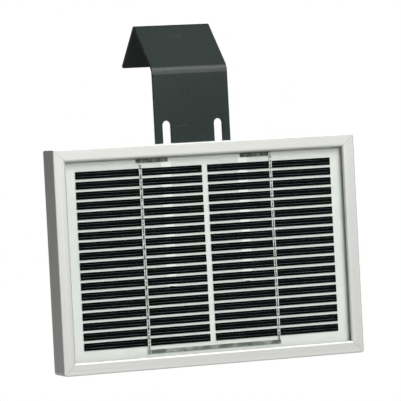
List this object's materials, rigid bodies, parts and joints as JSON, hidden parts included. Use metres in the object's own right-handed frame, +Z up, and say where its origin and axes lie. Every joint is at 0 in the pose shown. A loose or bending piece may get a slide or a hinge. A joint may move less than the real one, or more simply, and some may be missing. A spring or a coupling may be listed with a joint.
{
  "type": "solar panel on hook bracket",
  "caption": "Small framed solar panel that powers an attic vent fan, clamped with wing nuts to the slotted plate of a bent steel hook that hangs over a ridge or rail.",
  "frame": {"origin": "crest inside the hook, in the middle of its width, where it hangs on a ridge or rail", "axes": "+Z up, the panel's glass faces -Y, +X to the right seen from the front"},
  "size_m": [0.188, 0.0712, 0.2001],
  "materials": {
    "powder_coated_steel": "satin powder coat, very dark grey-green",
    "anodised_aluminium": "fine satin, natural anodised, faint extrusion lines",
    "clear_glass": "clear low-iron glass",
    "clear_encapsulant": "clear EVA film",
    "white_backsheet": "matt white laminated sheet",
    "silicon_cell": "blue-black coated silicon with printed silver fingers",
    "tinned_copper": "tinned copper ribbon, slightly uneven",
    "insulation_film": "white insulating strip",
    "foam_seal": "black foam tape",
    "black_moulding": "moulded, fine texture",
    "black_rubber": "soft seal",
    "silicone_bead": "white silicone adhesive",
    "brass": "bare brass",
    "zinc_plated_steel": "bright zinc plate",
    "nylon": "natural nylon",
    "diode_epoxy": "moulded epoxy",
    "blank_label": "silver-white film, blank"
  },
  "bodies": {
    "bracket": {"hook_bracket": "powder_coated_steel"},
    "panel": {"frame_rail_top": "anodised_aluminium", "frame_rail_bottom": "anodised_aluminium", "frame_rail_left": "anodised_aluminium", "frame_rail_right": "anodised_aluminium", "corner_keys": "anodised_aluminium", "edge_seal": "foam_seal", "front_glass": "clear_glass", "encapsulant_front": "clear_encapsulant", "encapsulant_rear": "clear_encapsulant", "backsheet": "white_backsheet", "cells_left_column": "silicon_cell", "cells_right_column": "silicon_cell", "tab_ribbons_left": "tinned_copper", "tab_ribbons_right": "tinned_copper", "bus_ribbon_bottom": "tinned_copper", "terminal_ribbon_left": "tinned_copper", "terminal_ribbon_right": "tinned_copper", "insulation_strips": "insulation_film", "rating_label": "blank_label", "junction_box_adhesive": "silicone_bead", "junction_box_base": "black_moulding", "junction_box_gasket": "black_rubber", "lid_hinge_pin": "zinc_plated_steel", "terminal_carrier": "nylon", "terminal_blocks": "brass", "terminal_screws": "zinc_plated_steel", "blocking_diode": "diode_epoxy", "gland_body": "black_moulding", "gland_seal": "black_rubber", "bracket_screws": "zinc_plated_steel", "spacer_washers": "nylon", "flat_washers": "zinc_plated_steel"},
    "left_wing_nut": {"wing_nut_left": "zinc_plated_steel"},
    "right_wing_nut": {"wing_nut_right": "zinc_plated_steel"},
    "box_lid": {"junction_box_lid": "black_moulding"},
    "cable_gland_nut": {"gland_nut": "black_moulding"}
  },
  "joints": [
    {"name": "panel_slide", "type": "slide", "parent": "bracket", "child": "panel", "axis": [0, 0, 1], "range_m": [-0.025, 0.0196]},
    {"name": "left_wing_nut_spin", "type": "hinge", "parent": "panel", "child": "left_wing_nut", "pos_m": [-0.0162, -0.02223, -0.07713], "axis": [0, 1, 0], "continuous": true},
    {"name": "right_wing_nut_spin", "type": "hinge", "parent": "panel", "child": "right_wing_nut", "pos_m": [0.0162, -0.02223, -0.07713], "axis": [0, 1, 0], "continuous": true},
    {"name": "box_lid_hinge", "type": "hinge", "parent": "panel", "child": "box_lid", "pos_m": [0, -0.03223, -0.13653], "axis": [1, 0, 0], "range_deg": [0, 95]},
    {"name": "gland_nut_spin", "type": "hinge", "parent": "panel", "child": "cable_gland_nut", "pos_m": [0.033, -0.03598, -0.16314], "axis": [1, 0, 0], "continuous": true}
  ]
}
